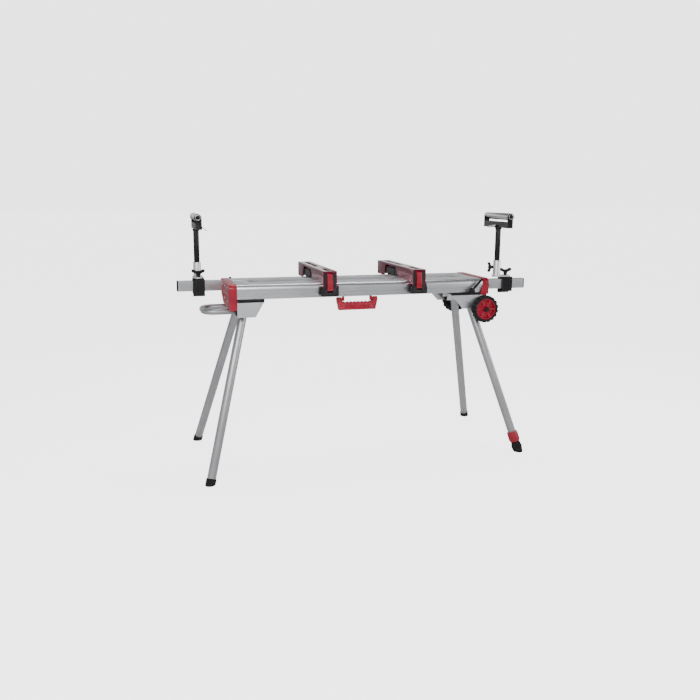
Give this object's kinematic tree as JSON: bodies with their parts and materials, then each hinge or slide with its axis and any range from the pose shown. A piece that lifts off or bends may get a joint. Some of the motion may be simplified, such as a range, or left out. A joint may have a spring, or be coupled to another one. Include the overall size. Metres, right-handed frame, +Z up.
{
  "type": "folding mitre saw stand",
  "caption": "Folding work stand with a two-rail beam, splayed legs, sliding saw brackets, telescopic roller supports, transport wheels and a tow loop.",
  "frame": {"origin": "on the floor under the centre of the beam", "axes": "+X along the beam to the wheeled end, -Y towards the user at the front, +Z up"},
  "size_m": [1.5, 0.5938, 1.043],
  "materials": {
    "rail": "satin anodised",
    "tube": "satin",
    "leg": "satin anodised",
    "sheet_metal": "zinc plated",
    "red_plastic": "satin moulded",
    "fasteners": "zinc plated",
    "black_plastic": "fine moulded texture",
    "jaw_plastic": "fine moulded texture",
    "rubber": "matt",
    "wheel_rubber": "matt with lugs",
    "black_paint": "satin powder coat",
    "roller_chrome": "polished",
    "maroon_metal": "metallic anodised"
  },
  "bodies": {
    "beam": {"front_rail": "rail", "rear_rail": "rail", "left_end_cap": "red_plastic", "right_end_cap": "red_plastic", "cap_screws": "fasteners", "end_plates": "rail", "cross_ties": "rail", "leg_bracket_front_left": "sheet_metal", "leg_bracket_rear_left": "sheet_metal", "leg_bracket_front_right": "sheet_metal", "leg_bracket_rear_right": "sheet_metal", "bracket_pads": "black_plastic", "pivot_pins": "fasteners", "tow_handle": "leg", "cross_plates": "black_paint", "wheel_axle": "fasteners", "tube_guides": "black_plastic", "handle_lugs": "black_plastic"},
    "leg_front_left": {"leg_front_left": "leg", "foot_cap_front_left": "rubber"},
    "latch_front_left": {"latch_front_left": "black_plastic"},
    "leg_rear_left": {"leg_rear_left": "leg", "foot_cap_rear_left": "rubber"},
    "latch_rear_left": {"latch_rear_left": "black_plastic"},
    "leg_front_right": {"leg_front_right": "leg"},
    "latch_front_right": {"latch_front_right": "black_plastic"},
    "collar": {"levelling_collar": "red_plastic"},
    "foot": {"levelling_foot": "rubber"},
    "leg_rear_right": {"leg_rear_right": "leg", "foot_cap_rear_right": "rubber"},
    "latch_rear_right": {"latch_rear_right": "black_plastic"},
    "left_tube": {"left_tube": "tube"},
    "left_tube_lock": {"left_tube_lock": "black_plastic"},
    "left_clamp": {"left_clamp": "black_plastic"},
    "left_clamp_knob": {"left_clamp_knob": "black_plastic"},
    "left_arm": {"left_arm": "sheet_metal"},
    "left_post_knob": {"left_post_knob": "black_plastic"},
    "left_post": {"left_post": "black_paint", "left_roller_head": "black_paint"},
    "left_roller": {"left_roller": "roller_chrome"},
    "left_flip_stop": {"left_flip_stop": "sheet_metal"},
    "left_saw_bracket": {"left_saw_bar": "maroon_metal", "left_saw_jaws": "jaw_plastic"},
    "left_saw_lever": {"left_saw_lever": "red_plastic"},
    "right_tube": {"right_tube": "tube"},
    "right_tube_lock": {"right_tube_lock": "black_plastic"},
    "right_clamp": {"right_clamp": "black_plastic"},
    "right_clamp_knob": {"right_clamp_knob": "black_plastic"},
    "right_arm": {"right_arm": "sheet_metal"},
    "right_post_knob": {"right_post_knob": "black_plastic"},
    "right_post": {"right_post": "black_paint", "right_roller_head": "black_paint"},
    "right_roller": {"right_roller": "roller_chrome"},
    "right_flip_stop": {"right_flip_stop": "sheet_metal"},
    "right_saw_bracket": {"right_saw_bar": "maroon_metal", "right_saw_jaws": "jaw_plastic"},
    "right_saw_lever": {"right_saw_lever": "red_plastic"},
    "carry_handle": {"carry_handle": "red_plastic"},
    "front_wheel": {"front_wheel": "wheel_rubber"},
    "rear_wheel": {"rear_wheel": "wheel_rubber"}
  },
  "joints": [
    {"name": "fold_leg_front_left", "type": "hinge", "parent": "beam", "child": "leg_front_left", "pos_m": [-0.49749, -0.0734, 0.662], "axis": [-0.0358, -0.9529, 0.3011], "range_deg": [0, 103.5]},
    {"name": "press_latch_front_left", "type": "hinge", "parent": "beam", "child": "latch_front_left", "pos_m": [-0.46351, -0.07468, 0.662], "axis": [-0.0358, -0.9529, 0.3011], "range_deg": [0, 18], "stiffness_Nm_per_rad": 0.6, "springref_deg": -22.92},
    {"name": "fold_leg_rear_left", "type": "hinge", "parent": "beam", "child": "leg_rear_left", "pos_m": [-0.49749, 0.0734, 0.662], "axis": [0.0358, -0.9529, -0.3011], "range_deg": [0, 103.5]},
    {"name": "press_latch_rear_left", "type": "hinge", "parent": "beam", "child": "latch_rear_left", "pos_m": [-0.46351, 0.07468, 0.662], "axis": [0.0358, -0.9529, -0.3011], "range_deg": [0, 18], "stiffness_Nm_per_rad": 0.6, "springref_deg": -22.92},
    {"name": "fold_leg_front_right", "type": "hinge", "parent": "beam", "child": "leg_front_right", "pos_m": [0.49749, -0.0734, 0.662], "axis": [0.0581, 0.9588, -0.278], "range_deg": [0, 105.2]},
    {"name": "press_latch_front_right", "type": "hinge", "parent": "beam", "child": "latch_front_right", "pos_m": [0.46355, -0.07134, 0.662], "axis": [0.0581, 0.9588, -0.278], "range_deg": [0, 18], "stiffness_Nm_per_rad": 0.6, "springref_deg": -22.92},
    {"name": "twist_collar", "type": "hinge", "parent": "leg_front_right", "child": "collar", "pos_m": [0.673, -0.276, 0], "axis": [0.2457, -0.2837, -0.9269], "range_deg": [0, 90]},
    {"name": "extend_foot", "type": "slide", "parent": "leg_front_right", "child": "foot", "axis": [0.2457, -0.2837, -0.9269], "range_m": [0, 0.04]},
    {"name": "fold_leg_rear_right", "type": "hinge", "parent": "beam", "child": "leg_rear_right", "pos_m": [0.49749, 0.0734, 0.662], "axis": [-0.0581, 0.9588, 0.278], "range_deg": [0, 105.2]},
    {"name": "press_latch_rear_right", "type": "hinge", "parent": "beam", "child": "latch_rear_right", "pos_m": [0.46355, 0.07134, 0.662], "axis": [-0.0581, 0.9588, 0.278], "range_deg": [0, 18], "stiffness_Nm_per_rad": 0.6, "springref_deg": -22.92},
    {"name": "extend_left_tube", "type": "slide", "parent": "beam", "child": "left_tube", "axis": [-1, 0, 0], "range_m": [-0.03, 0.4]},
    {"name": "turn_left_tube_lock", "type": "hinge", "parent": "beam", "child": "left_tube_lock", "pos_m": [-0.477, 0.15, 0.708], "axis": [0, 1, 0], "range_deg": [0, 75]},
    {"name": "slide_left_clamp", "type": "slide", "parent": "left_tube", "child": "left_clamp", "axis": [-1, 0, 0], "range_m": [-0.03, 0.05]},
    {"name": "turn_left_clamp_knob", "type": "hinge", "parent": "left_clamp", "child": "left_clamp_knob", "pos_m": [-0.661, 0.108, 0.78], "axis": [0, 0, 1], "range_deg": [0, 180]},
    {"name": "swivel_left_arm", "type": "hinge", "parent": "left_clamp", "child": "left_arm", "pos_m": [-0.661, 0.108, 0.765], "axis": [0, 0, 1], "range_deg": [0, 180]},
    {"name": "turn_left_post_knob", "type": "hinge", "parent": "left_arm", "child": "left_post_knob", "pos_m": [-0.661, 0.152, 0.805], "axis": [0, 1, 0], "range_deg": [0, 180]},
    {"name": "raise_left_post", "type": "slide", "parent": "left_arm", "child": "left_post", "axis": [0, 0, 1], "range_m": [-0.12, 0.035]},
    {"name": "spin_left_roller", "type": "hinge", "parent": "left_post", "child": "left_roller", "pos_m": [-0.661, 0.152, 1.015], "axis": [0, 1, 0], "continuous": true},
    {"name": "flip_left_stop", "type": "hinge", "parent": "left_post", "child": "left_flip_stop", "pos_m": [-0.6395, 0.152, 0.972], "axis": [0, -1, 0], "range_deg": [0, 92]},
    {"name": "slide_left_saw_bracket", "type": "slide", "parent": "beam", "child": "left_saw_bracket", "axis": [1, 0, 0], "range_m": [-0.22, 0.12]},
    {"name": "lift_left_saw_lever", "type": "hinge", "parent": "left_saw_bracket", "child": "left_saw_lever", "pos_m": [-0.164, -0.16, 0.793], "axis": [-1, 0, 0], "range_deg": [0, 60]},
    {"name": "extend_right_tube", "type": "slide", "parent": "beam", "child": "right_tube", "axis": [1, 0, 0], "range_m": [-0.03, 0.4]},
    {"name": "turn_right_tube_lock", "type": "hinge", "parent": "beam", "child": "right_tube_lock", "pos_m": [0.477, -0.15, 0.708], "axis": [0, -1, 0], "range_deg": [0, 75]},
    {"name": "slide_right_clamp", "type": "slide", "parent": "right_tube", "child": "right_clamp", "axis": [1, 0, 0], "range_m": [-0.03, 0.05]},
    {"name": "turn_right_clamp_knob", "type": "hinge", "parent": "right_clamp", "child": "right_clamp_knob", "pos_m": [0.661, -0.108, 0.78], "axis": [0, 0, 1], "range_deg": [0, 180]},
    {"name": "swivel_right_arm", "type": "hinge", "parent": "right_clamp", "child": "right_arm", "pos_m": [0.661, -0.108, 0.765], "axis": [0, 0, 1], "range_deg": [-90, 90]},
    {"name": "turn_right_post_knob", "type": "hinge", "parent": "right_arm", "child": "right_post_knob", "pos_m": [0.617, -0.108, 0.805], "axis": [-1, 0, 0], "range_deg": [0, 180]},
    {"name": "raise_right_post", "type": "slide", "parent": "right_arm", "child": "right_post", "axis": [0, 0, 1], "range_m": [0, 0.035]},
    {"name": "spin_right_roller", "type": "hinge", "parent": "right_post", "child": "right_roller", "pos_m": [0.617, -0.108, 1.028], "axis": [0, 1, 0], "continuous": true},
    {"name": "flip_right_stop", "type": "hinge", "parent": "right_post", "child": "right_flip_stop", "pos_m": [0.5955, -0.108, 0.985], "axis": [0, 1, 0], "range_deg": [-25, 67]},
    {"name": "slide_right_saw_bracket", "type": "slide", "parent": "beam", "child": "right_saw_bracket", "axis": [1, 0, 0], "range_m": [-0.15, 0.17]},
    {"name": "lift_right_saw_lever", "type": "hinge", "parent": "right_saw_bracket", "child": "right_saw_lever", "pos_m": [0.224, -0.16, 0.793], "axis": [-1, 0, 0], "range_deg": [0, 60]},
    {"name": "swing_carry_handle", "type": "hinge", "parent": "beam", "child": "carry_handle", "pos_m": [-0.0385, -0.13, 0.688], "axis": [-1, 0, 0], "range_deg": [0, 85]},
    {"name": "spin_front_wheel", "type": "hinge", "parent": "beam", "child": "front_wheel", "pos_m": [0.5415, -0.158, 0.627], "axis": [0, 1, 0], "continuous": true},
    {"name": "spin_rear_wheel", "type": "hinge", "parent": "beam", "child": "rear_wheel", "pos_m": [0.5415, 0.158, 0.627], "axis": [0, 1, 0], "continuous": true}
  ]
}
